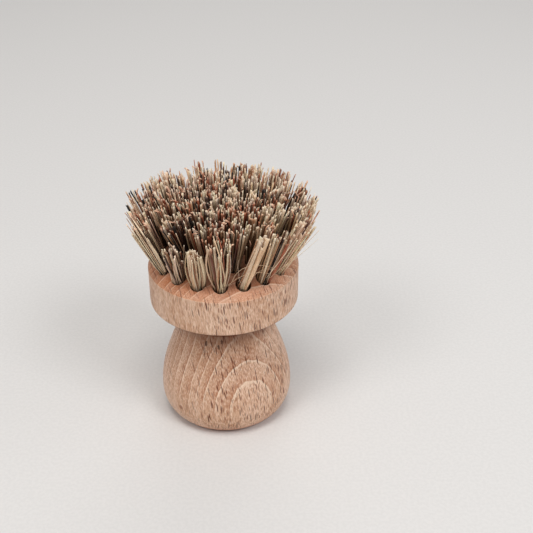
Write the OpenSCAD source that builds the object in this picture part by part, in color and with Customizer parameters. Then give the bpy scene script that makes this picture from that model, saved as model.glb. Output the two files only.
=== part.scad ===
// Palm brush: a turned wooden handle with a round head, a finger waist and a
// palm knob, and 37 tufts of stiff plant fibre, each folded over a steel anchor
// in a blind splayed hole. +Z is up along the handle's axis, the foot of the
// knob stands on Z = 0, and one tuft of the outer ring faces -Y.

/* [Head] */
// Diameter of the head's band
head_d = 50; // [48:0.5:56]
// Height of the head's underside above the foot
head_z = 45; // [44:0.1:48]
// Height of the straight band round the head
band_h = 12.7; // [11:0.1:15]
// Rise of the crowned top face above the band
crown_h = 6.3; // [4:0.1:8]
// How flat the crown is in the middle, and so how steep at its rim
crown_power = 5; // [3:1:7]
// Rounding of the band's two edges
band_round = 0.5; // [0.2:0.1:1]

/* [Knob and waist] */
// Largest diameter of the palm knob
knob_d = 45.7; // [42:0.1:50]
// Height of the knob's largest diameter
knob_z = 9; // [7:0.1:11]
// Diameter of the flat that the brush stands on
foot_d = 34; // [28:0.5:36]
// Diameter of the finger waist, where the bell meets the cove under the head
neck_d = 30.2; // [28:0.1:32]
// Height at which the bell meets the cove
neck_z = 37.6; // [36:0.1:40]
// Diameter where the cove meets the underside of the head
cove_d = 38; // [36:0.5:41]
// Depth of the fine groove that marks the end of the cove
groove_depth = 0.3; // [0.1:0.05:0.6]

/* [Holes] */
// Diameter of the drilled holes
hole_d = 5; // [4.4:0.1:5.2]
// Depth of the drilled holes along their own axes
hole_depth = 8.7; // [7:0.1:9]

/* [Tufts] */
// Height of the trimmed tips above the foot
trim_z = 81.5; // [76:0.5:88]
// How much lower the trim is at the edge of the brush
trim_drop = 0.3; // [0:0.1:2]
// Radius of each tuft at its tips
tip_r = 3.8; // [3:0.1:4]
// Splay of the outer ring from the axis, in degrees
outer_tilt = 19.5; // [18:0.5:21]
// Splay of the middle ring from the axis, in degrees
middle_tilt = 13; // [12:0.5:14]
// Splay of the inner ring from the axis, in degrees
inner_tilt = 6.5; // [6:0.5:7]
// Gap between a tuft and the wall of its hole
tuft_gap = 0.03; // [0.02:0.01:0.1]

/* [Anchors] */
// Thickness of an anchor's sheet
anchor_t = 0.35; // [0.25:0.05:0.5]
// Height of an anchor along its hole
anchor_h = 2; // [1.5:0.1:2.5]
// Height of an anchor's lower edge above the hole's flat bottom
anchor_lift = 1.6; // [1.2:0.1:2]
// How far each end of an anchor bites into the wall of its hole
anchor_bite = 0.2; // [0.1:0.05:0.25]

/* [Hidden] */
head_r = head_d / 2;
band_top = head_z + band_h;
knob_r = knob_d / 2;
neck_r = neck_d / 2;
hole_r = hole_d / 2;
// ring radii of the hole mouths on the crown
outer_r = 0.832 * head_r;
middle_r = 0.56 * head_r;
inner_r = 0.28 * head_r;
// each ring starts from the tuft that faces -Y, the middle one half a step on
outer_count = 18;
middle_count = 12;
inner_count = 6;
// steps that each curve of the turned profile is drawn in
foot_n = 6;
bell_n = 9;
cove_n = 4;
crown_n = 6;
// length of the straight part of a tuft above its mouth
collar = 1;
// radius to which the trim surface is made
trim_r = 60;

// Height of the crown above the band at radius r
function crown(r) = crown_h * (1 - pow(r / head_r, crown_power));

// Point of a cubic Bezier curve
function bezier(a, b, c, d, t) =
  pow(1 - t, 3) * a + 3 * pow(1 - t, 2) * t * b + 3 * (1 - t) * t * t * c + pow(t, 3) * d;

// Foot: a quarter ellipse from the flat up to the knob's widest point
foot_curve = [
  for (i = [0 : foot_n])
    [foot_d / 2 + (knob_r - foot_d / 2) * sin(i * 90 / foot_n), knob_z * (1 - cos(i * 90 / foot_n))]
];
// Bell from the widest point in to the finger waist
bell_curve = [
  for (i = [1 : bell_n])
    bezier([knob_r, knob_z], [knob_r, knob_z + 11.5],
           [neck_r + 2.1, neck_z - 8.5], [neck_r, neck_z], i / bell_n)
];
// Fine turned groove between the bell and the cove
groove_curve = [
  [neck_r - groove_depth, neck_z + 0.2], [neck_r - groove_depth, neck_z + 0.35]
];
// Cove from the waist out to the underside of the head
cove_curve = [
  for (i = [0 : cove_n])
    [neck_r - 0.1 + (cove_d / 2 - neck_r + 0.1) * (1 - cos(i * 90 / cove_n)),
     neck_z + 0.5 + (head_z - neck_z - 0.5) * sin(i * 90 / cove_n)]
];
// Band with its rounded lower and upper edges
band_curve = [
  for (i = [0 : 2])
    [head_r - band_round + band_round * sin(i * 45), head_z + band_round - band_round * cos(i * 45)],
  for (i = [0 : 1])
    [head_r - band_round * (1 - cos(i * 48)), band_top - band_round * 0.87 + band_round * sin(i * 48)]
];
// Crowned top face, in to the axis
crown_curve = [
  for (i = [0 : crown_n - 1])
    let (r = (head_r - 0.5 * band_round) * pow(1 - i / crown_n, 0.62))
      [r, band_top + crown(r) - crown(head_r - 0.5 * band_round) + 0.02],
  [0, band_top + crown_h - crown(head_r - 0.5 * band_round) + 0.02]
];

// Height of the crown's surface above the foot at radius r
function face_z(r) = band_top + crown(r) - crown(head_r - 0.5 * band_round) + 0.02;

// Local frame of one tuft: its origin on the crown's surface at the mouth of
// the hole, +Z out of the hole, +Y away from the brush's axis
module at_mouth(r, tilt, angle) {
  rotate([0, 0, angle - 90])
    translate([0, r, face_z(r)])
      rotate([-tilt, 0, 0])
        children();
}

module hole() {
  translate([0, 0, -hole_depth]) cylinder(h = hole_depth + 4, r = hole_r, $fn = 48);
}

module anchor_plate() {
  length = hole_d + 2 * anchor_bite;
  translate([-length / 2, -anchor_t / 2, -hole_depth + anchor_lift])
    cube([length, anchor_t, anchor_h]);
}

// One place per tuft of a ring, with the same children in each
module ring(count, r, tilt, start) {
  for (i = [0 : count - 1])
    at_mouth(r, tilt, start + i * 360 / count) children();
}

module every_mouth() {
  at_mouth(0, 0, -90) children();
  ring(inner_count, inner_r, inner_tilt, -90) children();
  ring(middle_count, middle_r, middle_tilt, -75) children();
  ring(outer_count, outer_r, outer_tilt, -90) children();
}

module handle() {
  color("burlywood")
    difference() {
      rotate_extrude($fn = 96)
        polygon(concat([[0, 0]], foot_curve, bell_curve, groove_curve, cove_curve,
                       band_curve, crown_curve));
      every_mouth() hole();
      every_mouth() anchor_plate();
    }
}

// Everything below the trimmed tips
module trim_body() {
  rotate_extrude($fn = 96)
    polygon(concat(
      [[0, 0], [trim_r, 0]],
      [for (i = [8 : -1 : 0])
        [trim_r * i / 8, trim_z - trim_drop * pow(trim_r * i / 8 / (head_r + 6), 2)]]));
}

// A tuft: the straight bundle in its hole, and the fan of fibres above it
module tuft(r, tilt, angle) {
  body_r = hole_r - tuft_gap;
  length = (trim_z - face_z(r)) / cos(tilt) + 3;
  slope = (tip_r - body_r) / (length - 3 - collar);
  color("tan")
    intersection() {
      at_mouth(r, tilt, angle)
        difference() {
          union() {
            translate([0, 0, -hole_depth]) cylinder(h = hole_depth + collar, r = body_r, $fn = 48);
            translate([0, 0, collar])
              cylinder(h = length - collar, r1 = body_r, r2 = body_r + slope * (length - collar),
                       $fn = 48);
          }
          anchor_plate();
        }
      trim_body();
    }
}

module tuft_outer(i) { tuft(outer_r, outer_tilt, -90 + (i - 1) * 360 / outer_count); }
module tuft_middle(i) { tuft(middle_r, middle_tilt, -75 + (i - 1) * 360 / middle_count); }
module tuft_inner(i) { tuft(inner_r, inner_tilt, -90 + (i - 1) * 360 / inner_count); }
module tuft_centre() { tuft(0, 0, -90); }

module anchor_centre() { color("silver") at_mouth(0, 0, -90) anchor_plate(); }
module anchors_inner() {
  color("silver") ring(inner_count, inner_r, inner_tilt, -90) anchor_plate();
}
module anchors_middle() {
  color("silver") ring(middle_count, middle_r, middle_tilt, -75) anchor_plate();
}
module anchors_outer() {
  color("silver") ring(outer_count, outer_r, outer_tilt, -90) anchor_plate();
}

handle();
tuft_centre();
tuft_inner(1);  // tuft_inner_01
tuft_inner(2);  // tuft_inner_02
tuft_inner(3);  // tuft_inner_03
tuft_inner(4);  // tuft_inner_04
tuft_inner(5);  // tuft_inner_05
tuft_inner(6);  // tuft_inner_06
tuft_middle(1);  // tuft_middle_01
tuft_middle(2);  // tuft_middle_02
tuft_middle(3);  // tuft_middle_03
tuft_middle(4);  // tuft_middle_04
tuft_middle(5);  // tuft_middle_05
tuft_middle(6);  // tuft_middle_06
tuft_middle(7);  // tuft_middle_07
tuft_middle(8);  // tuft_middle_08
tuft_middle(9);  // tuft_middle_09
tuft_middle(10);  // tuft_middle_10
tuft_middle(11);  // tuft_middle_11
tuft_middle(12);  // tuft_middle_12
tuft_outer(1);  // tuft_outer_01
tuft_outer(2);  // tuft_outer_02
tuft_outer(3);  // tuft_outer_03
tuft_outer(4);  // tuft_outer_04
tuft_outer(5);  // tuft_outer_05
tuft_outer(6);  // tuft_outer_06
tuft_outer(7);  // tuft_outer_07
tuft_outer(8);  // tuft_outer_08
tuft_outer(9);  // tuft_outer_09
tuft_outer(10);  // tuft_outer_10
tuft_outer(11);  // tuft_outer_11
tuft_outer(12);  // tuft_outer_12
tuft_outer(13);  // tuft_outer_13
tuft_outer(14);  // tuft_outer_14
tuft_outer(15);  // tuft_outer_15
tuft_outer(16);  // tuft_outer_16
tuft_outer(17);  // tuft_outer_17
tuft_outer(18);  // tuft_outer_18
anchor_centre();
anchors_inner();
anchors_middle();
anchors_outer();
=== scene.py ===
import math

import bmesh
import bpy
import numpy as np
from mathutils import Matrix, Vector


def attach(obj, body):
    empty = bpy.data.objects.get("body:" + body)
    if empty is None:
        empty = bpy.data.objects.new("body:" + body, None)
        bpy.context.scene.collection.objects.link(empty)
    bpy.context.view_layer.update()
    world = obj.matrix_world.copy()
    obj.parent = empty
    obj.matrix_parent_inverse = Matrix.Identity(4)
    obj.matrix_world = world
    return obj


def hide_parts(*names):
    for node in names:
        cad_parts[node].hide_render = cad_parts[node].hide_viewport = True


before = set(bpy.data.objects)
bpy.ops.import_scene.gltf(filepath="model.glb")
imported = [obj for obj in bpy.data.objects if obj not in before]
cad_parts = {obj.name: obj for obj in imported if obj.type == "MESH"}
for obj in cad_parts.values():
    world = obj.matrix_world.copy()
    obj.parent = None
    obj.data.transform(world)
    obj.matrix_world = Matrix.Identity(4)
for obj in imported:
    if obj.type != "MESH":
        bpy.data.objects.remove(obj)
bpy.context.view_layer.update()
MM = 0.001
rad = math.radians

# ---------------------------------------------------------------- sizes (mm)
HEAD_R, HEAD_Z, BAND_H, CROWN_H, BAND_ROUND = 25.0, 45.0, 12.7, 6.3, 0.5
BAND_TOP = HEAD_Z + BAND_H
KNOB_R, KNOB_Z, FOOT_R = 22.85, 9.0, 17.0
NECK_R, NECK_Z, COVE_R, GROOVE = 15.1, 37.6, 19.0, 0.3
HOLE_R, HOLE_DEPTH = 2.5, 8.7
RINGS = {  # name: (count, mouth radius, tilt, first angle)
    "centre": (1, 0.0, 0.0, -90.0),
    "inner": (6, 0.28 * HEAD_R, 6.5, -90.0),
    "middle": (12, 0.56 * HEAD_R, 13.0, -75.0),
    "outer": (18, 0.832 * HEAD_R, 19.5, -90.0),
}


def crown(r):
    return CROWN_H * (1 - (r / HEAD_R) ** 5)


def face_z(r):
    return BAND_TOP + crown(r) - crown(HEAD_R - 0.5 * BAND_ROUND) + 0.02


def trim_z(r):
    return 81.5 - 0.3 * (r / 31.0) ** 2


def mouth_frame(r, tilt, angle):
    """Origin and axes (tangent, outward, along the hole) of a tuft's mouth."""
    a, t = rad(angle), rad(tilt)
    out = np.array([math.cos(a), math.sin(a), 0.0])
    up = np.array([0.0, 0.0, 1.0])
    o = out * r + up * face_z(r)
    z = out * math.sin(t) + up * math.cos(t)
    y = out * math.cos(t) - up * math.sin(t)
    x = np.cross(y, z)
    return o, np.stack([x, y, z])


def mesh_object(name, verts, faces):
    me = bpy.data.meshes.new(name)
    me.from_pydata([tuple(v) for v in verts], [], [tuple(f) for f in faces])
    me.update()
    ob = bpy.data.objects.new(name, me)
    bpy.context.scene.collection.objects.link(ob)
    return ob


# ---------------------------------------------------------------- node helpers
class Tree:
    """Short calls for building a node tree."""

    def __init__(self, name):
        self.mat = bpy.data.materials.new(name)
        self.mat.use_nodes = True
        self.t = self.mat.node_tree
        self.t.nodes.clear()
        self.out = self.t.nodes.new("ShaderNodeOutputMaterial")
        self.bsdf = self.t.nodes.new("ShaderNodeBsdfPrincipled")
        self.t.links.new(self.bsdf.outputs[0], self.out.inputs[0])

    def put(self, socket, value):
        if isinstance(value, bpy.types.NodeSocket):
            self.t.links.new(value, socket)
        elif value is not None:
            socket.default_value = value

    def math(self, op, a, b=None, c=None, clamp=False):
        n = self.t.nodes.new("ShaderNodeMath")
        n.operation, n.use_clamp = op, clamp
        for s, v in zip(n.inputs, (a, b, c)):
            self.put(s, v)
        return n.outputs[0]

    def vmath(self, op, a, b=None):
        n = self.t.nodes.new("ShaderNodeVectorMath")
        n.operation = op
        self.put(n.inputs[0], a)
        if op == "SCALE":
            self.put(n.inputs["Scale"], b)
        else:
            self.put(n.inputs[1], b)
        return n.outputs["Value"] if op in ("DOT_PRODUCT", "LENGTH", "DISTANCE") else n.outputs["Vector"]

    def xyz(self, x, y, z):
        n = self.t.nodes.new("ShaderNodeCombineXYZ")
        for s, v in zip(n.inputs, (x, y, z)):
            self.put(s, v)
        return n.outputs[0]

    def sep(self, v):
        n = self.t.nodes.new("ShaderNodeSeparateXYZ")
        self.put(n.inputs[0], v)
        return n.outputs

    def noise(self, v, scale=1.0, detail=3.0, rough=0.5, lac=2.0, dist=0.0):
        n = self.t.nodes.new("ShaderNodeTexNoise")
        n.noise_dimensions = "3D"
        self.put(n.inputs["Vector"], v)
        n.inputs["Scale"].default_value = scale
        n.inputs["Detail"].default_value = detail
        n.inputs["Roughness"].default_value = rough
        n.inputs["Lacunarity"].default_value = lac
        n.inputs["Distortion"].default_value = dist
        return n.outputs["Fac"] if "Fac" in n.outputs else n.outputs[0]

    def voronoi(self, v, dims="2D", scale=1.0, rand=1.0):
        n = self.t.nodes.new("ShaderNodeTexVoronoi")
        n.voronoi_dimensions, n.feature = dims, "F1"
        self.put(n.inputs["Vector"], v)
        n.inputs["Scale"].default_value = scale
        n.inputs["Randomness"].default_value = rand
        return n.outputs["Distance"], n.outputs["Color"]

    def ramp(self, fac, stops, interp="LINEAR"):
        n = self.t.nodes.new("ShaderNodeValToRGB")
        n.color_ramp.interpolation = interp
        e = n.color_ramp.elements
        while len(e) < len(stops):
            e.new(0.5)
        for el, (p, c) in zip(e, stops):
            el.position = p
            el.color = (c, c, c, 1) if isinstance(c, (int, float)) else (*c, 1)
        self.put(n.inputs[0], fac)
        return n.outputs[0]

    def smooth(self, x, lo, hi, to_lo=0.0, to_hi=1.0):
        n = self.t.nodes.new("ShaderNodeMapRange")
        n.interpolation_type = "SMOOTHSTEP"
        self.put(n.inputs["Value"], x)
        for k, v in (("From Min", lo), ("From Max", hi), ("To Min", to_lo), ("To Max", to_hi)):
            self.put(n.inputs[k], v)
        return n.outputs["Result"]

    def mix(self, fac, a, b, mode="MIX"):
        n = self.t.nodes.new("ShaderNodeMix")
        n.data_type, n.blend_type = "RGBA", mode
        self.put(n.inputs[0], fac)
        self.put(n.inputs[6], a if not isinstance(a, tuple) else (*a, 1))
        self.put(n.inputs[7], b if not isinstance(b, tuple) else (*b, 1))
        return n.outputs[2]

    def bump(self, height, strength, distance):
        n = self.t.nodes.new("ShaderNodeBump")
        n.inputs["Strength"].default_value = strength
        n.inputs["Distance"].default_value = distance
        self.put(n.inputs["Height"], height)
        self.t.links.new(n.outputs[0], self.bsdf.inputs["Normal"])
        return n


def lin(r, g, b):
    """A screen colour (0-255) as linear light."""
    f = lambda c: c / 12.92 if c <= 0.04045 else ((c + 0.055) / 1.055) ** 2.4
    return (f(r / 255), f(g / 255), f(b / 255))


# ---------------------------------------------------------------- beech
# The log's heart lies behind the handle, to the left, so the growth rings show
# as tall arches on the knob's front right and as bands across the crown.
HEART_DIR = Vector((0.44, -0.898, 0.0)).normalized()  # from the heart to the handle
HEART_DIST = 120.0
GRAIN = Vector((-0.09, 0.056, 1.0)).normalized()  # the fibres lean a little
TANGENT = GRAIN.cross(HEART_DIR).normalized()
RADIAL = TANGENT.cross(GRAIN).normalized()
# where each year's growth ends, in mm from the handle's axis
YEARS = [-29.0, -26.1, -23.0, -20.2, -17.1, -14.3, -11.2, -8.4, -5.6, -2.4, 0.6, 3.4, 6.2, 9.2, 12.5, 14.4,
         16.3, 18.7, 20.6, 23.0, 25.6, 28.4, 31.0, 34.0]


def make_beech():
    m = Tree("beech_turned")
    tc = m.t.nodes.new("ShaderNodeTexCoord")
    geo = m.t.nodes.new("ShaderNodeNewGeometry")
    p = m.vmath("SCALE", tc.outputs["Object"], 1000.0)
    heart = Vector((0, 0, 22)) - RADIAL * HEART_DIST
    q = m.vmath("SUBTRACT", p, tuple(heart))
    qn = m.vmath("DOT_PRODUCT", q, tuple(RADIAL))
    qt = m.vmath("DOT_PRODUCT", q, tuple(TANGENT))
    qa = m.vmath("DOT_PRODUCT", q, tuple(GRAIN))
    u0 = m.math("SUBTRACT", m.math("SQRT", m.math("ADD", m.math("MULTIPLY", qn, qn), m.math("MULTIPLY", qt, qt))), HEART_DIST)
    s0 = m.math("MULTIPLY", m.math("ARCTAN2", qt, qn), HEART_DIST)
    # the grain wanders
    wob = m.noise(m.xyz(m.math("MULTIPLY", u0, 0.06), m.math("MULTIPLY", s0, 0.06), m.math("MULTIPLY", qa, 0.02)), 1.0, 2.0)
    wob2 = m.noise(m.xyz(m.math("MULTIPLY", u0, 0.3), m.math("MULTIPLY", s0, 0.35), m.math("MULTIPLY", qa, 0.09)), 1.0, 2.0)
    u = m.math("ADD", u0, m.math("ADD", m.math("MULTIPLY_ADD", wob, 0.5, -0.25), m.math("MULTIPLY_ADD", wob2, 0.5, -0.25)))
    s = m.math("ADD", s0, m.math("MULTIPLY_ADD", wob2, 0.8, -0.4))

    # growth rings: a slow darkening to the late wood, then a pale line
    jag = m.noise(m.xyz(m.math("MULTIPLY", s0, 1.1), m.math("MULTIPLY", qa, 0.35), 4.0), 1.0, 3.0, 0.6)
    ur = m.math("ADD", u, m.math("MULTIPLY_ADD", jag, 0.30, -0.15))
    count = 0.0
    for a, b in zip(YEARS, YEARS[1:]):
        count = m.math("ADD", m.math("DIVIDE", m.math("SUBTRACT", ur, a), b - a, clamp=True), count)
    phase = m.math("FRACT", count)
    late = m.ramp(phase, [(0.0, 0.0), (0.10, 0.10), (0.45, 0.30), (0.78, 0.70), (0.93, 1.0), (0.97, 0.85), (1.0, 0.0)])
    pale = m.ramp(phase, [(0.0, 1.0), (0.03, 0.85), (0.11, 0.0), (0.96, 0.0), (0.99, 1.0)])
    ring_var = m.noise(m.xyz(m.math("MULTIPLY", u0, 0.16), m.math("MULTIPLY", s0, 0.05), m.math("MULTIPLY", qa, 0.03)), 1.0, 2.0)
    height = m.sep(p)[2]
    on_head = m.smooth(height, 43.0, 46.0, 1.0, 0.30)
    where = m.math("MULTIPLY", m.math("MAXIMUM", on_head, m.smooth(height, 57.0, 58.6)), m.smooth(height, 6.0, 19.0, 0.10, 1.0))
    ring_amp = m.math("MULTIPLY", m.smooth(ring_var, 0.36, 0.58, 0.50, 1.0), where)

    # where the surface shows end grain or the flat of the rays
    nrm = geo.outputs["Normal"]
    end = m.math("ABSOLUTE", m.vmath("DOT_PRODUCT", nrm, tuple(GRAIN)))
    end_f = m.smooth(end, 0.42, 0.86)
    flat_f = m.smooth(m.math("ABSOLUTE", m.vmath("DOT_PRODUCT", nrm, tuple(TANGENT))), 0.55, 0.95)

    # fine fibre streaks along the grain
    streak = m.noise(m.xyz(m.math("MULTIPLY", u, 2.6), m.math("MULTIPLY", s, 2.6), m.math("MULTIPLY", qa, 0.13)), 1.0, 5.0, 0.62)
    fine = m.noise(m.xyz(m.math("MULTIPLY", u, 7.5), m.math("MULTIPLY", s, 7.5), m.math("MULTIPLY", qa, 0.7)), 1.0, 3.0, 0.6)
    tick = m.noise(m.xyz(m.math("MULTIPLY", u, 3.4), m.math("MULTIPLY", s, 3.9), m.math("MULTIPLY", qa, 0.46)), 1.0, 3.0, 0.62)
    cloud = m.noise(m.xyz(m.math("MULTIPLY", u, 0.11), m.math("MULTIPLY", s, 0.11), m.math("MULTIPLY", qa, 0.045)), 1.0, 3.0)

    # rays: short dark spindles where the rings lie flat, broad flakes on the quarter
    breakup = m.noise(m.xyz(m.math("MULTIPLY", u0, 0.10), m.math("MULTIPLY", s0, 0.5), m.math("MULTIPLY", qa, 0.16)), 1.0, 2.0)

    def spindles(width, height, low, high, shift):
        v = m.xyz(m.math("MULTIPLY_ADD", s, 1 / width, shift), m.math("MULTIPLY_ADD", qa, 1 / height, shift * 1.7), 0.0)
        d, c = m.voronoi(v)
        r, g, b = m.sep(c)
        size = m.smooth(m.math("ADD", m.math("MULTIPLY", r, 0.75), m.math("MULTIPLY", breakup, 0.5)), low, high, 0.0, 0.32)
        edge = m.math("SUBTRACT", size, d)
        return m.smooth(edge, -0.03, 0.10), g

    big, big_c = spindles(0.50, 5.8, 0.50, 1.00, 3.1)
    small, small_c = spindles(0.36, 3.2, 0.36, 0.98, 7.7)
    flake_d, flake_c = m.voronoi(m.xyz(m.math("MULTIPLY", u0, 0.26), m.math("MULTIPLY", qa, 0.62), m.math("MULTIPLY", s, 1.6)), "3D")
    flake_r = m.sep(flake_c)[0]
    flake = m.math("MULTIPLY", m.smooth(flake_r, 0.60, 0.75), m.smooth(flake_d, 0.42, 0.20))

    # colour
    c0 = m.mix(m.smooth(cloud, 0.34, 0.66), lin(236, 199, 171), lin(212, 166, 132))
    c1 = m.mix(m.math("MULTIPLY", m.math("MULTIPLY", late, ring_amp), 0.92), c0, lin(180, 116, 78))
    c2 = m.mix(m.math("MULTIPLY", m.math("MULTIPLY", pale, ring_amp), 0.75), c1, lin(243, 213, 184))
    c3 = m.mix(m.smooth(streak, 0.36, 0.66, 0.0, 0.42), c2, lin(196, 149, 118))
    c3 = m.mix(m.smooth(tick, 0.50, 0.64, 0.0, 0.54), c3, lin(164, 108, 80))
    c3 = m.mix(m.smooth(tick, 0.50, 0.37, 0.0, 0.50), c3, lin(248, 224, 202))
    c4 = m.mix(m.smooth(fine, 0.50, 0.70, 0.0, 0.30), c3, lin(166, 116, 88))
    c4 = m.mix(m.math("MULTIPLY", m.math("MULTIPLY", pale, ring_amp), 0.72), c4, lin(242, 214, 188))
    c5 = m.mix(m.math("MULTIPLY", m.math("MULTIPLY", flake, flat_f), 0.42), c4, lin(222, 184, 152))
    # end grain drinks oil and turns redder
    e0 = m.mix(0.78, c5, m.mix(m.smooth(fine, 0.35, 0.65), lin(210, 130, 78), lin(174, 98, 56)))
    c6 = m.mix(m.math("MULTIPLY", end_f, 0.95), c5, e0)
    blotch = m.noise(m.vmath("MULTIPLY", p, (0.35, 0.35, 0.2)), 1.0, 3.0, 0.6)
    c6 = m.mix(m.math("MULTIPLY", m.smooth(blotch, 0.45, 0.65), m.math("MULTIPLY", end_f, 0.34)), c6, lin(222, 168, 142))
    c6 = m.mix(m.math("MULTIPLY", m.math("MULTIPLY", late, ring_amp), m.math("MULTIPLY", end_f, 0.60)), c6, lin(166, 96, 58))
    c6 = m.mix(m.math("MULTIPLY", m.math("MULTIPLY", pale, ring_amp), m.math("MULTIPLY", end_f, 0.75)), c6, lin(240, 206, 174))
    # painted shade on the crown among the tufts, darker from the rim inwards
    from_axis = m.vmath("LENGTH", m.vmath("MULTIPLY", p, (1.0, 1.0, 0.0)))
    crown_painted_shade = m.math("MULTIPLY", m.smooth(from_axis, 23.6, 20.0, 0.0, 0.75), m.smooth(height, 58.2, 59.6))
    c6 = m.mix(crown_painted_shade, c6, lin(112, 72, 50))
    # painted shade on the neck under the overhanging head
    under = m.math("MULTIPLY", m.smooth(height, 31.0, 39.5), m.smooth(height, 45.6, 45.1))
    c6 = m.mix(m.math("MULTIPLY", under, 0.86), c6, lin(146, 104, 80))
    quarter = m.math("MULTIPLY_ADD", flat_f, -0.72, 1.0)
    small = m.math("MULTIPLY", small, quarter)
    big = m.math("MULTIPLY", big, quarter)
    k_small = m.math("MULTIPLY", small, m.math("MULTIPLY_ADD", small_c, 0.45, 0.48))
    c7 = m.mix(m.math("MULTIPLY", k_small, m.math("MULTIPLY_ADD", end_f, -0.5, 1.0)), c6, lin(134, 72, 46))
    k_big = m.math("MULTIPLY", big, m.math("MULTIPLY_ADD", big_c, 0.30, 0.70))
    c8 = m.mix(m.math("MULTIPLY", k_big, m.math("MULTIPLY_ADD", end_f, -0.55, 1.0)), c7, lin(88, 38, 22))

    # a small brown fleck low on the left, and torn specks under the head
    def spot(at, size, colour_in, colour, strength, shape=(1.0, 1.0, 1.0)):
        d = m.vmath("LENGTH", m.vmath("MULTIPLY", m.vmath("SUBTRACT", p, at), shape))
        wob3 = m.noise(p, 1.3, 2.0)
        d = m.math("MULTIPLY_ADD", wob3, 0.9, m.math("SUBTRACT", d, 0.45))
        return m.mix(m.math("MULTIPLY", m.smooth(d, size, size * 0.5), strength), colour_in, colour)

    c9 = spot(tuple(SPOT_AT), 1.15, c8, lin(150, 92, 62), 0.8)
    for at, size in CHIPS:
        c9 = spot(tuple(at), size, c9, lin(84, 52, 36), 0.85, (1.3, 1.3, 0.5))
    m.put(m.bsdf.inputs["Base Color"], c9)

    rough = m.math("MULTIPLY_ADD", fine, 0.16, 0.50)
    m.put(m.bsdf.inputs["Roughness"], m.math("ADD", rough, m.math("MULTIPLY", big, 0.12)))
    m.bsdf.inputs["Specular IOR Level"].default_value = 0.25
    m.bsdf.inputs["Sheen Weight"].default_value = 0.10
    m.bsdf.inputs["Sheen Roughness"].default_value = 0.45
    h = m.math("MULTIPLY", big, -0.9)
    h = m.math("MULTIPLY_ADD", small, -0.45, h)
    h = m.math("MULTIPLY_ADD", streak, 0.5, h)
    h = m.math("MULTIPLY_ADD", tick, -0.45, h)
    h = m.math("MULTIPLY_ADD", fine, 0.45, h)
    h = m.math("MULTIPLY_ADD", late, 0.12, h)
    m.bump(h, 0.55, 0.00009)
    return m.mat


def make_drilled():
    """The rough wall of a drilled hole."""
    m = Tree("beech_drilled")
    tc = m.t.nodes.new("ShaderNodeTexCoord")
    p = m.vmath("SCALE", tc.outputs["Object"], 1000.0)
    a = m.noise(m.vmath("MULTIPLY", p, (3.0, 3.0, 1.2)), 1.0, 4.0)
    b = m.noise(p, 5.0, 3.0)
    c = m.mix(m.smooth(a, 0.35, 0.65), lin(186, 128, 90), lin(126, 80, 54))
    c = m.mix(m.smooth(b, 0.5, 0.75, 0.0, 0.6), c, lin(92, 58, 40))
    m.put(m.bsdf.inputs["Base Color"], c)
    m.put(m.bsdf.inputs["Roughness"], m.math("MULTIPLY_ADD", b, 0.2, 0.7))
    m.bump(m.math("ADD", a, b), 0.6, 0.00012)
    return m.mat


def make_steel():
    """Cut steel strip of the anchors."""
    m = Tree("anchor_steel")
    tc = m.t.nodes.new("ShaderNodeTexCoord")
    p = m.vmath("SCALE", tc.outputs["Object"], 1000.0)
    a = m.noise(m.vmath("MULTIPLY", p, (9.0, 9.0, 0.8)), 1.0, 4.0)
    b = m.noise(p, 1.6, 4.0)
    c = m.mix(m.smooth(a, 0.3, 0.7), lin(186, 184, 178), lin(146, 144, 140))
    c = m.mix(m.smooth(b, 0.58, 0.75, 0.0, 0.5), c, lin(120, 98, 78))
    m.put(m.bsdf.inputs["Base Color"], c)
    m.bsdf.inputs["Metallic"].default_value = 1.0
    m.put(m.bsdf.inputs["Roughness"], m.math("MULTIPLY_ADD", a, 0.2, 0.3))
    m.bump(a, 0.4, 0.00003)
    return m.mat


def make_fibre():
    """Plant fibre: each strand's own tone with painted shade and light along it, and streaks along it."""
    m = Tree("plant_fibre")
    tone = m.t.nodes.new("ShaderNodeAttribute")
    tone.attribute_name = "tone"
    run = m.t.nodes.new("ShaderNodeAttribute")
    run.attribute_name = "run"
    v = m.sep(run.outputs["Vector"])  # around 0-1, mm along, strand number
    ang = m.math("MULTIPLY", v[0], 2 * math.pi)
    ring = m.xyz(m.math("MULTIPLY_ADD", m.math("COSINE", ang), 1.1, m.math("MULTIPLY", v[2], 3.7)),
                 m.math("MULTIPLY_ADD", m.math("SINE", ang), 1.1, m.math("MULTIPLY", v[2], 1.3)),
                 m.math("MULTIPLY", v[1], 0.11))
    streak = m.noise(ring, 1.5, 4.0, 0.65)
    speck = m.noise(m.xyz(m.math("MULTIPLY_ADD", m.math("COSINE", ang), 0.8, m.math("MULTIPLY", v[2], 5.1)),
                          m.math("SINE", ang), m.math("MULTIPLY", v[1], 0.9)), 1.4, 3.0)
    c = m.mix(m.smooth(streak, 0.44, 0.72, 0.0, 0.75), tone.outputs["Color"],
              m.mix(1.0, tone.outputs["Color"], lin(178, 140, 114), "MULTIPLY"))
    c = m.mix(m.smooth(streak, 0.44, 0.30, 0.0, 0.45), c, m.mix(0.5, c, lin(240, 217, 190)))
    c = m.mix(m.smooth(speck, 0.60, 0.74, 0.0, 0.5), c, m.mix(1.0, c, lin(120, 84, 64), "MULTIPLY"))
    m.put(m.bsdf.inputs["Base Color"], c)
    m.put(m.bsdf.inputs["Roughness"], m.math("MULTIPLY_ADD", streak, 0.3, 0.42))
    m.bsdf.inputs["Specular IOR Level"].default_value = 0.32
    m.bump(m.math("ADD", streak, m.math("MULTIPLY", speck, 0.4)), 0.5, 0.00006)
    return m.mat


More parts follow.
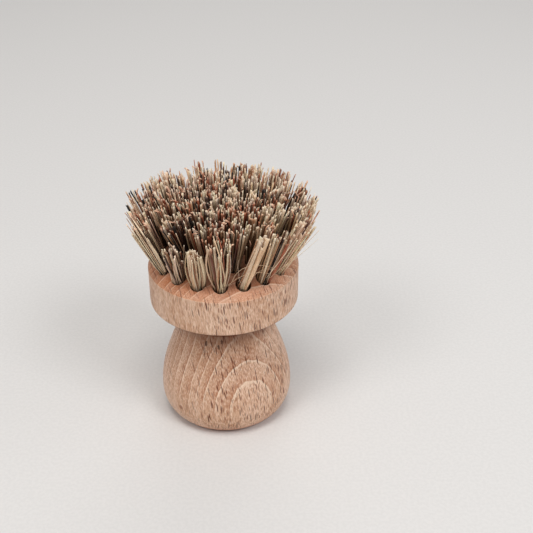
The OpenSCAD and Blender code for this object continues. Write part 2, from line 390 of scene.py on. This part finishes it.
# ---------------------------------------------------------------- handle
def profile():
    """Points (radius, height) of the turned outline, from the foot to the crown."""
    pts = [(FOOT_R * k, 0.0) for k in (0.0, 0.35, 0.7)]
    for i in range(25):
        a = i * math.pi / 48
        pts.append((FOOT_R + (KNOB_R - FOOT_R) * math.sin(a), KNOB_Z * (1 - math.cos(a))))
    a, b = np.array([KNOB_R, KNOB_Z]), np.array([KNOB_R, KNOB_Z + 11.5])
    c, d = np.array([NECK_R + 2.1, NECK_Z - 8.5]), np.array([NECK_R, NECK_Z])
    for i in range(1, 65):
        t = i / 64
        q = (1 - t) ** 3 * a + 3 * (1 - t) ** 2 * t * b + 3 * (1 - t) * t * t * c + t ** 3 * d
        pts.append((q[0], q[1]))
    pts += [(NECK_R - 0.08, NECK_Z + 0.08), (NECK_R - GROOVE, NECK_Z + 0.2), (NECK_R - GROOVE, NECK_Z + 0.35)]
    for i in range(17):
        a = i * math.pi / 32
        pts.append((NECK_R - 0.1 + (COVE_R - NECK_R + 0.1) * (1 - math.cos(a)),
                    NECK_Z + 0.5 + (HEAD_Z - NECK_Z - 0.5) * math.sin(a)))
    pts += [(20.5, HEAD_Z), (22.2, HEAD_Z), (23.6, HEAD_Z)]
    for i in range(7):
        a = i * math.pi / 12
        pts.append((HEAD_R - BAND_ROUND + BAND_ROUND * math.sin(a), HEAD_Z + BAND_ROUND - BAND_ROUND * math.cos(a)))
    top = BAND_TOP - BAND_ROUND * 0.87
    pts += [(HEAD_R, HEAD_Z + BAND_ROUND + (top - HEAD_Z - BAND_ROUND) * i / 16) for i in range(1, 17)]
    for i in range(1, 6):
        a = i * rad(9.6)
        pts.append((HEAD_R - BAND_ROUND * (1 - math.cos(a)), top + BAND_ROUND * math.sin(a)))
    r0 = HEAD_R - 0.5 * BAND_ROUND
    for i in range(45):
        r = r0 * (1 - i / 45) ** 0.75
        pts.append((r, face_z(r)))
    pts.append((0.0, face_z(0.0)))
    return np.array(pts)


PROFILE = profile()


def build_handle(wood, drilled):
    n = 288
    ring = PROFILE[1:-1]
    ang = np.arange(n) * 2 * math.pi / n
    # the turning isn't perfect: the outline breathes by a few hundredths
    wave = 1 + 0.0009 * np.sin(2 * ang + 0.7) + 0.0005 * np.sin(5 * ang + 2.1)
    verts = [np.stack([r * wave * np.cos(ang), r * wave * np.sin(ang), np.full(n, z)], 1) for r, z in ring]
    verts = np.concatenate(verts + [[[0, 0, PROFILE[0][1]]], [[0, 0, PROFILE[-1][1]]]]) * MM
    k, faces = len(ring), []
    for i in range(k - 1):
        for j in range(n):
            j2 = (j + 1) % n
            faces.append((i * n + j, i * n + j2, (i + 1) * n + j2, (i + 1) * n + j))
    lo, hi = k * n, k * n + 1
    faces += [(lo, (j + 1) % n, j) for j in range(n)]
    faces += [(hi, (k - 1) * n + j, (k - 1) * n + (j + 1) % n) for j in range(n)]
    handle = mesh_object("handle_turned", verts, faces)
    handle.data.materials.append(wood)
    handle.data.materials.append(drilled)

    # one drill body for each hole: a flat bottom and a slightly broken edge
    m, dv, df = 40, [], []
    sect = [(0.0, -HOLE_DEPTH), (HOLE_R, -HOLE_DEPTH), (HOLE_R, -4.0), (HOLE_R, -0.9),
            (HOLE_R + 0.02, -0.20), (HOLE_R + 0.12, 0.25), (HOLE_R + 0.40, 3.5)]
    rng = np.random.default_rng(5)
    for count, r, tilt, start in RINGS.values():
        for i in range(count):
            o, ax = mouth_frame(r, tilt, start + i * 360 / count)
            base, t = len(dv), np.arange(m) * 2 * math.pi / m
            ragged = 1 + 0.018 * rng.standard_normal(m)
            dv.append(o + ax[2] * sect[0][1])
            for rr, h in sect[1:]:
                w = ragged if h > -0.5 else 1.0
                ring_pts = o + np.outer(rr * w * np.cos(t), ax[0]) + np.outer(rr * w * np.sin(t), ax[1]) + ax[2] * h
                dv += list(ring_pts)
            dv.append(o + ax[2] * sect[-1][1])
            top = len(dv) - 1
            for j in range(m):
                j2 = (j + 1) % m
                df.append((base, base + 1 + j2, base + 1 + j))
                for a in range(len(sect) - 2):
                    p0, p1 = base + 1 + a * m, base + 1 + (a + 1) * m
                    df.append((p0 + j, p0 + j2, p1 + j2, p1 + j))
                p0 = base + 1 + (len(sect) - 2) * m
                df.append((p0 + j, p0 + j2, top))
    drill = mesh_object("drill_bodies", np.array(dv) * MM, df)
    drill.data.materials.append(wood)
    drill.data.materials.append(drilled)
    for poly in drill.data.polygons:
        poly.material_index = 1
    mod = handle.modifiers.new("holes", "BOOLEAN")
    mod.operation, mod.object, mod.solver = "DIFFERENCE", drill, "EXACT"
    mod.material_mode = "INDEX"
    dg = bpy.context.evaluated_depsgraph_get()
    me = bpy.data.meshes.new_from_object(handle.evaluated_get(dg))
    handle.modifiers.clear()
    old = handle.data
    handle.data = me
    me.name = "handle_turned"
    bpy.data.meshes.remove(old)
    bpy.data.objects.remove(drill)
    for poly in me.polygons:
        poly.use_smooth = True
    me.set_sharp_from_angle(angle=rad(32))
    handle_map(me)
    return handle


def handle_map(me):
    """A flat map of the handle: the turned side as a strip, the crown and the foot as discs, the holes as small patches."""
    co = np.zeros(len(me.vertices) * 3)
    me.vertices.foreach_get("co", co)
    co = co.reshape(-1, 3) / MM
    r = np.hypot(co[:, 0], co[:, 1])
    step = np.hypot(*np.diff(PROFILE, axis=0).T)
    run = np.concatenate([[0], np.cumsum(step)])
    # place of each vertex along the outline
    at = np.zeros(len(co))
    best = np.full(len(co), 1e9)
    for i in range(len(PROFILE) - 1):
        a, b = PROFILE[i], PROFILE[i + 1]
        d = b - a
        t = np.clip(((r - a[0]) * d[0] + (co[:, 2] - a[1]) * d[1]) / max(d @ d, 1e-9), 0, 1)
        e = np.hypot(r - a[0] - t * d[0], co[:, 2] - a[1] - t * d[1])
        better = e < best
        best = np.where(better, e, best)
        at = np.where(better, run[i] + t * step[i], at)
    side_lo = run[3]
    side_hi = run[np.argmax(PROFILE[:, 0] > HEAD_R - 1e-6) + 16]
    k = 0.98 / (2 * math.pi * HEAD_R)
    uv = me.uv_layers.new(name="OFBake")
    out = np.zeros((len(me.loops), 2))
    mouths = [mouth_frame(rr, tt, ss + i * 360 / cc) for cc, rr, tt, ss in RINGS.values() for i in range(cc)]
    origins = np.array([o for o, _ in mouths])
    for poly in me.polygons:
        ls = list(poly.loop_indices)
        vs = [me.loops[i].vertex_index for i in ls]
        pts = co[vs]
        if poly.material_index == 1:
            h = int(np.argmin(np.linalg.norm(origins - pts.mean(0) - np.array([0, 0, 3.0]), axis=1)))
            o, ax = mouths[h]
            loc = (pts - o) @ ax.T
            rr = np.hypot(loc[:, 0], loc[:, 1]) * 0.30 + (loc[:, 2] + 9.5) * 0.30
            th = np.arctan2(loc[:, 1], loc[:, 0])
            cx, cy = 0.58 + 0.062 * (h % 7), 0.50 + 0.062 * (h // 7)
            out[ls, 0] = cx + 0.007 * rr * np.cos(th)
            out[ls, 1] = cy + 0.007 * rr * np.sin(th)
            continue
        mean = at[vs].mean()
        if mean > side_hi:
            out[ls, 0] = 0.17 + pts[:, 0] * k
            out[ls, 1] = 0.66 + pts[:, 1] * k
        elif mean < side_lo + 0.01:
            out[ls, 0] = 0.44 + pts[:, 0] * k
            out[ls, 1] = 0.60 + pts[:, 1] * k
        else:
            th = np.arctan2(pts[:, 0], -pts[:, 1])
            mid = th[0]
            th = np.where(th - mid > math.pi, th - 2 * math.pi, np.where(mid - th > math.pi, th + 2 * math.pi, th))
            if th.mean() > math.pi:
                th = th - 2 * math.pi
            out[ls, 0] = 0.5 + th / (2 * math.pi) * 0.98
            out[ls, 1] = 0.01 + (at[vs] - side_lo) * k
    uv.data.foreach_set("uv", out.ravel())


# ---------------------------------------------------------------- fibres
STRAW = lin(248, 226, 194)
SAND = lin(232, 198, 162)
GREYED = lin(208, 182, 160)
TAN = lin(188, 140, 106)
RUST = lin(162, 92, 64)
BROWN = lin(106, 64, 50)
DARK = lin(62, 42, 33)
INK = lin(32, 24, 20)
TONES = np.array([STRAW, SAND, GREYED, TAN, RUST, BROWN, DARK, INK])
MIXED = np.array([0.28, 0.15, 0.05, 0.06, 0.16, 0.09, 0.11, 0.10])
PALE = np.array([0.48, 0.26, 0.14, 0.05, 0.03, 0.02, 0.01, 0.01])
CREAM = np.array([0.62, 0.22, 0.12, 0.04, 0.0, 0.0, 0.0, 0.0])
DARKER = np.array([0.13, 0.13, 0.12, 0.13, 0.17, 0.15, 0.10, 0.07])
RUSTY = np.array([0.16, 0.14, 0.09, 0.14, 0.26, 0.13, 0.05, 0.03])
CUT_PALE = np.array(lin(250, 234, 208))
CUT_PINK = np.array(lin(214, 158, 124))
FRAYED = np.array(lin(238, 194, 162))
RUST_AR = np.array(RUST)
SIDES = 6

# the viewer's place in mm, and the directions of the view
PITCH, FOCAL = 31.67, 900.0
CAM = (14.34, -300.7 * math.cos(rad(PITCH)), 55.6 + 300.7 * math.sin(rad(PITCH)))
VIEW_RIGHT = np.array([1.0, 0.0, 0.0])
VIEW_FWD = np.array([0.0, math.cos(rad(PITCH)), -math.sin(rad(PITCH))])
VIEW_UP = np.array([0.0, math.sin(rad(PITCH)), math.cos(rad(PITCH))])


class Fibres:
    """Collects round or flat strands and makes one mesh of them."""

    def __init__(self):
        self.v, self.f, self.tone, self.run, self.uv, self.n = [], [], [], [], [], 0
        self.strands = 0

    def strand(self, path, width, thick, spin, tones, strip, caps=True, taper=None, slant=(0.0, 0.0)):
        """path: points; tones: a colour for each; strip: (u0, u1, [v for each]) of the bake map;
        slant: how far in mm the cut at each end runs off square."""
        path = np.asarray(path, float)
        k = len(path)
        d = np.gradient(path, axis=0)
        d /= np.linalg.norm(d, axis=1)[:, None] + 1e-12
        # a frame carried along the path without twisting
        side = np.cross(d[0], [0.3, 1.0, 0.1])
        side /= np.linalg.norm(side)
        sides = []
        for i in range(k):
            side = side - d[i] * (side @ d[i])
            side /= np.linalg.norm(side)
            sides.append(side)
        sides = np.array(sides)
        up = np.cross(d, sides)
        t = np.arange(SIDES) * 2 * math.pi / SIDES
        w = np.full(k, width) if taper is None else width * np.asarray(taper)
        h = np.full(k, thick) if taper is None else thick * np.asarray(taper)
        c, s = math.cos(spin), math.sin(spin)
        x = np.cos(t)[None, :] * w[:, None] / 2
        y = np.sin(t)[None, :] * h[:, None] / 2
        xr, yr = x * c - y * s, x * s + y * c
        pts = path[:, None, :] + xr[..., None] * sides[:, None, :] + yr[..., None] * up[:, None, :]
        for end, cut in ((0, slant[0]), (k - 1, slant[1])):
            pts[end] += np.cos(t)[:, None] * cut * d[end][None, :]
        base = self.n
        self.v.append(pts.reshape(-1, 3))
        self.n += k * SIDES
        along = np.concatenate([[0], np.cumsum(np.linalg.norm(np.diff(path, axis=0), axis=1))])
        tn = np.repeat(np.asarray(tones)[:, None, :], SIDES, 1).reshape(-1, 3)
        self.tone.append(tn)
        rn = np.stack([np.tile(np.arange(SIDES) / SIDES, k), np.repeat(along, SIDES), np.full(k * SIDES, self.strands)], 1)
        self.run.append(rn)
        u0, u1, vv = strip
        for i in range(k - 1):
            for j in range(SIDES):
                j2 = (j + 1) % SIDES
                self.f.append((base + i * SIDES + j, base + i * SIDES + j2,
                               base + (i + 1) * SIDES + j2, base + (i + 1) * SIDES + j))
                ua, ub = u0 + (u1 - u0) * j / SIDES, u0 + (u1 - u0) * (j + 1) / SIDES
                self.uv += [(ua, vv[i]), (ub, vv[i]), (ub, vv[i + 1]), (ua, vv[i + 1])]
        if caps:
            um, ur = (u0 + u1) / 2, min((u1 - u0) * 0.5, 0.006)
            for end, vc in ((0, vv[0] - 0.008), (k - 1, vv[-1] + 0.008)):
                idx = [base + end * SIDES + j for j in range(SIDES)]
                order = idx[::-1] if end == 0 else idx
                self.f.append(tuple(order))
                tt = t[::-1] if end == 0 else t
                self.uv += [(um + ur * math.cos(a), vc + 0.006 * math.sin(a)) for a in tt]
        self.strands += 1

    def make(self, name, material):
        ob = mesh_object(name, np.concatenate(self.v) * MM, self.f)
        me = ob.data
        me.materials.append(material)
        col = me.color_attributes.new("tone", "FLOAT_COLOR", "POINT")
        t = np.concatenate(self.tone)
        col.data.foreach_set("color", np.concatenate([t, np.ones((len(t), 1))], 1).astype(np.float32).ravel())
        run = me.attributes.new("run", "FLOAT_VECTOR", "POINT")
        run.data.foreach_set("vector", np.concatenate(self.run).astype(np.float32).ravel())
        uv = me.uv_layers.new(name="OFBake")
        uv.data.foreach_set("uv", np.array(self.uv, np.float32).ravel())
        for poly in me.polygons:
            poly.use_smooth = len(poly.vertices) == 4
        return ob


# How single tufts differ from their ring; the outer ring counts from the one that
# faces the viewer, anticlockwise seen from above.
# open: the least share of painted light on an outer tuft's fibres
STYLE = {
    "tuft_outer_01": dict(legs=40, spread=5.2, root=0.86, tones=DARKER * 0.5 + PALE * 0.5, bend=1.2, ragged=2.6, pull=0.34),
    "tuft_outer_02": dict(open=0.75, legs=20, spread=1.8, root=0.74, tones=CREAM, wide=0.80, blades=(0.95, 1.45), lean=(-3.9, -0.2),
                          bend=0.3, drop=0.2, ragged=1.5, pull=0.0, hook=0.0),
    "tuft_outer_03": dict(open=0.25, legs=44, spread=4.2, root=0.90, tones=MIXED * 0.5 + PALE * 0.5, lean=(-0.8, 0.4), ragged=2.4),
    "tuft_outer_04": dict(open=0.60, legs=44, spread=3.6, tones=CREAM * 0.6 + PALE * 0.4, wide=0.55, blades=(0.7, 1.25), lean=(-1.0, 2.4),
                          ragged=1.8),
    "tuft_outer_15": dict(lean=(0.0, -0.6)),
    "tuft_outer_16": dict(open=0.35, legs=50, spread=3.8, tones=MIXED * 0.5 + PALE * 0.5, lean=(-0.4, 1.6), ragged=2.4),
    "tuft_outer_17": dict(legs=46, spread=3.2, tones=PALE * 0.5 + MIXED * 0.5, lean=(-2.2, 0.5), drop=5.6, ragged=2.8),
    "tuft_outer_18": dict(open=0.80, legs=42, spread=1.7, root=0.92, tones=CREAM, wide=0.60, blades=(0.6, 1.05), drop=4.0, belly=0.65,
                          lean=(-1.7, 0.4), ragged=2.2, bud=0.8, pull=0.0, hook=0.04),
    "tuft_middle_03": dict(tones=PALE),
    "tuft_middle_08": dict(tones=DARKER),
    "tuft_inner_02": dict(tones=RUSTY),
}


def build_tuft(name, ring, index, material):
    count, r, tilt, start = RINGS[ring]
    o, ax = mouth_frame(r, tilt, start + index * 360 / count)
    seed = 1000 * (1 + list(RINGS).index(ring)) + index
    rng = np.random.default_rng(seed)
    st = STYLE.get(name, {})
    legs = st.get("legs", (58 if ring in ("outer", "middle") else 66) + int(rng.integers(-6, 7)))
    legs += legs % 2
    spread = st.get("spread", {"centre": 5.8, "inner": 5.8, "middle": 5.2}.get(ring, 4.8)) * (1 + 0.03 * rng.standard_normal())
    mixes = st.get("tones")
    if mixes is None:
        mixes = (MIXED, MIXED, DARKER, RUSTY, PALE * 0.5 + MIXED * 0.5)[int(rng.integers(0, 5))]
    lean = np.array(st.get("lean", tuple(0.4 * rng.standard_normal(2))))
    wide_share = st.get("wide", 0.24)
    blades = st.get("blades", (0.62, 1.10))
    bud, pull, hook = st.get("bud", 0.0), st.get("pull", 0.26), st.get("hook", 0.13)
    bend = st.get("bend", 0.5)
    belly = st.get("belly", 0.0)
    tuft_drop = st.get("drop", float(rng.uniform(0.0, 0.5)))
    ragged = st.get("ragged", 1.5)

    # places of the fibres in the hole, paired across the anchor
    i = np.arange(legs) + 0.5
    rr = 2.42 * st.get("root", 1.0) * np.sqrt(i / legs)
    th = i * 2.399963 + rng.uniform(0, 6.28)
    base = np.stack([rr * np.cos(th), rr * np.sin(th)], 1) + rng.normal(0, 0.09, (legs, 2))
    order = np.argsort(base[:, 1])
    near, far = order[: legs // 2], order[legs // 2:]
    near, far = near[np.argsort(base[near, 0])], far[np.argsort(base[far, 0])]

    # the fibres lie in bunches of one kind
    parts = (PALE, MIXED, DARKER, RUSTY, MIXED, PALE)
    bunches = [0.25 * mixes + 0.75 * parts[int(rng.integers(0, 6))] for _ in range(5)]
    if "tones" in st:
        bunches = [mixes] * 5
    turn = rng.uniform(0, 2 * math.pi)
    sector = (((np.arctan2(base[:, 1], base[:, 0]) + turn) / (2 * math.pi)) % 1.0 * 4.999).astype(int)
    middles = np.array([base[sector == k].mean(0) if (sector == k).any() else (0.0, 0.0) for k in range(5)])
    sunk = np.abs(rng.normal(0, 1.1, 5)) * (0.0 if "drop" in st else 1.0)
    sunk -= sunk.min()

    f = Fibres()
    strands = legs // 2
    for sidx in range(strands):
        blade = rng.random() < wide_share
        if blade:
            width, thick = rng.uniform(*blades), rng.uniform(0.24, 0.36)
        elif rng.random() < 0.36:
            width = rng.uniform(0.25, 0.38)
            thick = width * rng.uniform(0.8, 1.0)
        else:
            width = rng.uniform(0.42, 0.68)
            thick = width * rng.uniform(0.6, 0.95)
        mix = bunches[sector[far[sidx]]]
        tone = TONES[rng.choice(8, p=mix / mix.sum())].copy()
        tone = tone * rng.uniform(0.62, 1.40) * (1 + 0.03 * rng.standard_normal(3))
        tone *= min(1.0, 0.92 / tone.max())
        sides, frayed = [], []
        for leg, sign in ((near[sidx], -1), (far[sidx], 1)):
            b = base[leg]
            own = sector[leg]
            out = (b + (middles[own] - b) * pull) / 2.2 * spread
            out = out * rng.uniform(0.90, 1.10) + rng.normal(0, 0.46, 2)
            if rng.random() < 0.06:
                out = out + rng.normal(0, 1.3, 2)
            if ring == "outer" and out[1] > 0:
                out[1] *= 0.80
            out = out + lean
            # length to the trimmed surface
            drop = tuft_drop + sunk[own] + abs(rng.normal(0, ragged)) + bud * float(b @ b) / 5.8
            if rng.random() < 0.16:
                drop += rng.uniform(0.8, 4.2)
            length = 17.0
            for _ in range(4):
                tip = o + ax[0] * out[0] + ax[1] * out[1] + ax[2] * length
                length += (trim_z(math.hypot(tip[0], tip[1])) - drop - tip[2]) / ax[2][2]
            ang = rng.uniform(0, 2 * math.pi)
            bow = bend * abs(rng.normal(0, 0.5)) * np.array([math.cos(ang), math.sin(ang)])
            hs = np.array([-7.35, -5.0, -2.2, 0.0])
            pts = []
            for h in hs:
                k = (h + 7.35) / 7.35
                y = b[1] * (0.25 + 0.75 * min(1.0, k * 1.5))
                y = sign * max(abs(y), 0.40 if h < -4.5 else 0.0) if h < -4.5 else y
                pts.append((b[0] * (0.92 + 0.08 * k), y, h))
            for v in (0.12, 0.28, 0.45, 0.62, 0.8):
                w = v ** (0.84 if ring == "outer" else 0.92)
                swell = math.sin(math.pi * v)
                xy = b + (out - b) * w + bow * swell + b / 2.2 * belly * swell
                pts.append((xy[0], xy[1], length * v))
            # some tips are frayed and turned aside
            frayed.append(rng.random() < hook)
            end = out + (rng.normal(0, 0.66, 2) if frayed[-1] else 0.0)
            pts.append((*(b + (out - b) * 0.955), length * 0.955))
            pts.append((*end, length))
            pts = np.array(pts)
            # the whole leg stays a little clear of the hole's wall
            inside = pts[:, 2] < 0.2
            rr2 = np.hypot(pts[:, 0], pts[:, 1])
            cap = 2.46 - min(width, 0.6) / 2
            k = np.where(inside & (rr2 > cap), cap / np.maximum(rr2, 1e-6), 1.0)
            pts[:, 0] *= k
            pts[:, 1] *= k
            sides.append((pts, length))
        a, b2 = sides[0][0][::-1], sides[1][0]
        fold_x = (a[-1][0] + b2[0][0]) / 2
        dip = -HOLE_DEPTH + thick / 2 + 0.12 + rng.uniform(0, 0.35)
        fold = [(a[-1][0] * 0.9 + fold_x * 0.1, -0.28, dip + 0.35), (fold_x, 0.0, dip), (b2[0][0] * 0.9 + fold_x * 0.1, 0.28, dip + 0.35)]
        local = np.concatenate([a, fold, b2])
        world = o + local @ ax
        h = local[:, 2]
        n_a = len(a)
        # painted shade and light: fibres darker down in the hole, at the root and further below the trimmed face,
        # lighter near the tips the outer side of the brush gets painted light down to the mouths
        root_y = np.where(np.arange(len(local)) < n_a + 1, base[near[sidx], 1], base[far[sidx], 1])
        if ring == "outer":
            open_side = np.clip(0.50 + 0.36 * root_y, st.get("open", 0.05), 1.0)
        elif ring == "middle":
            open_side = np.clip(0.10 + 0.11 * root_y, 0.0, 0.32)
        else:
            open_side = 0.0
        deep = np.interp(81.5 - world[:, 2], [0, 1.4, 3.0, 5.0, 10.0, 30.0], [1.62, 1.27, 0.56, 0.30, 0.18, 0.10])
        light = np.interp(h, [-9, -1.5, 0.5, 2.5, 6, 17], [0.26, 0.50, 0.90, 1.15, 1.34, 1.38])
        shade = deep + (light - deep) * open_side
        # shadow between fibres is warm, light is neutral
        warm = np.where(shade[:, None] < 1.0, np.array([1.0, 1.25, 1.5]), np.array([1.0, 0.97, 0.92]))
        tones = tone[None, :] * shade[:, None] ** warm
        tones *= np.minimum(1.0, 0.95 / tones.max(1))[:, None]
        cut = CUT_PALE if (tone.mean() > 0.22 or rng.random() < 0.15) else CUT_PINK
        cut = cut * rng.uniform(0.72, 1.05)
        if tone.mean() < 0.03:
            cut = tone * 1.6 + 0.01
        elif tone.mean() < 0.10:
            cut = cut * 0.62
        for tip_i, next_i in ((0, 1), (len(local) - 1, len(local) - 2)):
            tones[tip_i] = tone * 0.48 + cut * 0.52
            tones[next_i] = tone * 0.98
            if frayed[0 if tip_i == 0 else 1]:
                tones[tip_i] = FRAYED
                tones[next_i] = tone * 0.4 + RUST_AR * 0.7
        # the bake map gives most of its height to the part that shows
        seg = np.linalg.norm(np.diff(local, axis=0), axis=1)
        weight = np.where((h[:-1] < -0.5) & (h[1:] < 0.5), 0.15, 1.0)
        vv = np.concatenate([[0], np.cumsum(seg * weight)])
        vv = 0.018 + 0.964 * vv / vv[-1]
        u0 = 0.98 * sidx / strands
        strip = (u0 + 0.08 / strands, u0 + 0.90 / strands, vv)
        taper = np.interp(h, [-9, -4, 0, 6, 25], [0.62, 0.72, 0.86, 1.0, 1.03])
        slant = np.clip(rng.normal(0, 0.5, 2) * width, -0.42, 0.42)
        f.strand(world, width, thick, rng.uniform(0, math.pi), tones, strip, taper=taper, slant=slant)
    for points, width, tone, off in STRAYS.get(name, ()):
        stray(f, o, ax, points, width, tone, off)
    return f.make(name + "_fibres", material)


# Loose hairs of single tufts: places in the 533 by 533 picture, width, tone and how
# far in front of the tufts they lie. Each starts in its tuft's hole.
STRAYS = {
    "tuft_outer_01": [
        ([(231.5, 284.0), (234.5, 275.5), (241.0, 269.0), (250.5, 265.6), (262.0, 264.8), (273.5, 268.0)], 0.14, SAND, 1.2),
        ([(231.0, 283.0), (238.5, 277.5), (249.0, 273.4), (260.5, 272.0), (270.5, 274.2)], 0.12, SAND, 0.8),
        ([(225.5, 281.0), (222.0, 265.0), (217.5, 250.0), (213.0, 236.0)], 0.42, SAND, 0.9),
        ([(223.0, 280.0), (224.0, 262.0), (221.0, 245.0), (215.5, 231.0)], 0.40, RUST, 0.6),
    ],
    "tuft_outer_02": [
        ([(239.5, 281.0), (238.5, 273.0), (237.5, 266.0), (238.5, 260.0)], 0.14, GREYED, 0.8),
        ([(250.0, 280.0), (257.0, 272.5), (266.0, 268.5), (275.5, 269.5)], 0.12, SAND, 1.4),
    ],
    "tuft_outer_04": [
        ([(283.0, 268.0), (296.0, 254.0), (309.0, 241.0), (319.0, 230.5)], 0.22, SAND, 1.6),
        ([(284.0, 268.0), (298.0, 256.5), (311.0, 245.5), (318.5, 238.5)], 0.16, STRAW, 1.2),
    ],
    "tuft_outer_03": [
        ([(268.0, 276.0), (279.0, 262.0), (289.0, 248.5), (297.0, 238.0)], 0.22, STRAW, 0.8),
        ([(271.0, 277.0), (284.0, 266.0), (297.0, 256.0)], 0.16, SAND, 0.8),
    ],
    "tuft_outer_16": [
        ([(165.0, 272.0), (153.0, 250.0), (141.0, 231.0), (128.5, 214.0)], 0.46, STRAW, 1.5),
        ([(163.5, 271.5), (149.5, 249.5), (138.0, 232.0), (131.0, 222.0)], 0.30, SAND, 1.2),
        ([(166.0, 272.0), (157.0, 254.0), (147.0, 238.0)], 0.55, STRAW, 1.4),
    ],
}


def stray(f, o, ax, points, width, tone, off):
    """A loose hair through places of the picture, a little in front of its tuft."""
    path = [o + ax[2] * -7.0, o + ax[2] * -3.5, o + ax[2] * -0.4 + ax[1] * 0.8]
    # the plane through the tuft that faces the viewer
    face = VIEW_FWD - ax[2] * (VIEW_FWD @ ax[2])
    face /= np.linalg.norm(face)
    through = o - face * (2.2 + off)
    for px, py in points:
        ray = VIEW_FWD + VIEW_RIGHT * (px - 266.5) / FOCAL - VIEW_UP * (py - 266.5) / FOCAL
        at = np.array(CAM) + ray * (((through - np.array(CAM)) @ face) / (ray @ face))
        # no hair rises above the trimmed face
        if at[2] > 80.6:
            at = np.array(CAM) + ray * ((80.6 - CAM[2]) / ray[2])
        path.append(at)
    path = np.array(path)
    # a smooth line through the places
    at = np.concatenate([[0], np.cumsum(np.linalg.norm(np.diff(path, axis=0), axis=1))])
    fine = np.linspace(0, at[-1], 30)
    path = np.stack([np.interp(fine, at, path[:, k]) for k in range(3)], 1)
    for _ in range(3):
        path[1:-1] = (path[:-2] + 2 * path[1:-1] + path[2:]) / 4
    k = np.linspace(0, 1, len(path))
    # painted shade: each hair is darker down in its hole
    tones = np.array(tone)[None, :] * np.interp(k, [0, 0.3, 0.5, 1], [0.3, 0.6, 1.0, 1.05])[:, None]
    f.strand(path, width, width * 0.8, 0.3, tones, (0.985, 0.999, 0.02 + 0.96 * k),
             taper=np.interp(k, [0, 0.7, 1], [1.0, 1.0, 0.6]))


# ---------------------------------------------------------------- build
def project_to_handle(px, py):
    """The point of the handle that the viewer sees at a place in the 533 by 533 picture, in mm."""
    ray = VIEW_FWD + VIEW_RIGHT * (px - 266.5) / FOCAL - VIEW_UP * (py - 266.5) / FOCAL
    for t in np.linspace(200, 420, 22001):
        q = np.array(CAM) + ray * t
        if 0 <= q[2] <= BAND_TOP + 6:
            i = np.searchsorted(PROFILE_Z, q[2])
            rr = PROFILE_R[min(i, len(PROFILE_R) - 1)]
            if math.hypot(q[0], q[1]) <= rr:
                return q
    return np.array([0.0, -20.0, 20.0])


outline = PROFILE[np.argsort(PROFILE[:, 1], kind="stable")]
PROFILE_Z, PROFILE_R = outline[:, 1], outline[:, 0]
SPOT_AT = project_to_handle(181.0, 407.0)
CHIPS = [(project_to_handle(206.0, 343.5), 0.80), (project_to_handle(221.8, 341.5), 0.66), (project_to_handle(218.8, 347.0), 0.72)]

wood = make_beech()
drilled = make_drilled()
steel = make_steel()
fibre = make_fibre()

handle = build_handle(wood, drilled)
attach(handle, "root")
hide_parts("handle")

for ring, (count, *_rest) in RINGS.items():
    for i in range(count):
        name = "tuft_centre" if ring == "centre" else f"tuft_{ring}_{i + 1:02d}"
        piece = build_tuft(name, ring, i, fibre)
        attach(piece, "root")
        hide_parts(name)

for name in ("anchor_centre", "anchors_inner", "anchors_middle", "anchors_outer"):
    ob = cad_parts[name]
    if not ob.material_slots:
        ob.data.materials.append(steel)
    for slot in ob.material_slots:
        slot.material = steel

# ---------------------------------------------------------------- floor, light, camera
floor = mesh_object("floor", [(-3, -3, 0), (3, -3, 0), (3, 3, 0), (-3, 3, 0)], [(0, 1, 2, 3)])
fm = Tree("pale_floor")
tc = fm.t.nodes.new("ShaderNodeTexCoord")
fn = fm.noise(fm.vmath("SCALE", tc.outputs["Object"], 1000.0), 0.9, 3.0)
fm.put(fm.bsdf.inputs["Base Color"], fm.mix(fm.smooth(fn, 0.35, 0.65), lin(219, 215, 211), lin(215, 211, 207)))
fm.bsdf.inputs["Roughness"].default_value = 0.85
fm.bsdf.inputs["Specular IOR Level"].default_value = 0.2
floor.data.materials.append(fm.mat)

scene = bpy.context.scene
world = bpy.data.worlds.new("studio")
scene.world = world
world.use_nodes = True
bg = world.node_tree.nodes.get("Background") or world.node_tree.nodes.new("ShaderNodeBackground")
bg.inputs[0].default_value = (0.93, 0.96, 1.0, 1)
bg.inputs[1].default_value = 0.26


def area(name, at, target, size, power, colour):
    data = bpy.data.lights.new(name, "AREA")
    data.shape, data.size, data.energy, data.color = "SQUARE", size, power, colour
    ob = bpy.data.objects.new(name, data)
    ob.location = at
    ob.rotation_euler = (Vector(target) - Vector(at)).to_track_quat("-Z", "Y").to_euler()
    scene.collection.objects.link(ob)
    return ob


area("key", (-0.06, -0.30, 1.2), (0, 0, 0.04), 0.5, 6.3, (1.0, 0.985, 0.965))
area("left", (-0.66, -0.68, 1.08), (0, 0, 0.04), 0.45, 4.5, (0.96, 0.98, 1.0))
area("right", (0.68, -0.64, 1.08), (0, 0, 0.04), 0.45, 6.2, (0.92, 0.96, 1.0))
area("low_right", (0.62, -0.04, 0.26), (0, 0, 0.03), 0.40, 0.48, (0.86, 0.93, 1.0))
area("back", (0.1, 0.9, 0.8), (0, 0, 0.05), 0.7, 2.4, (1.0, 1.0, 1.0))

cam_data = bpy.data.cameras.new("camera")
cam_data.sensor_width, cam_data.sensor_height, cam_data.sensor_fit = 36.0, 36.0, "HORIZONTAL"
cam_data.lens = FOCAL / 533.0 * 36.0
cam_data.clip_start, cam_data.clip_end = 0.01, 20.0
cam = bpy.data.objects.new("camera", cam_data)
cam.location = Vector(CAM) * MM
cam.rotation_euler = (rad(90 - PITCH), 0, 0)
scene.collection.objects.link(cam)
scene.camera = cam

scene.view_settings.view_transform = "Standard"
scene.view_settings.look = "None"
scene.view_settings.exposure = 0.0
scene.view_settings.gamma = 1.0


bpy.context.view_layer.update()
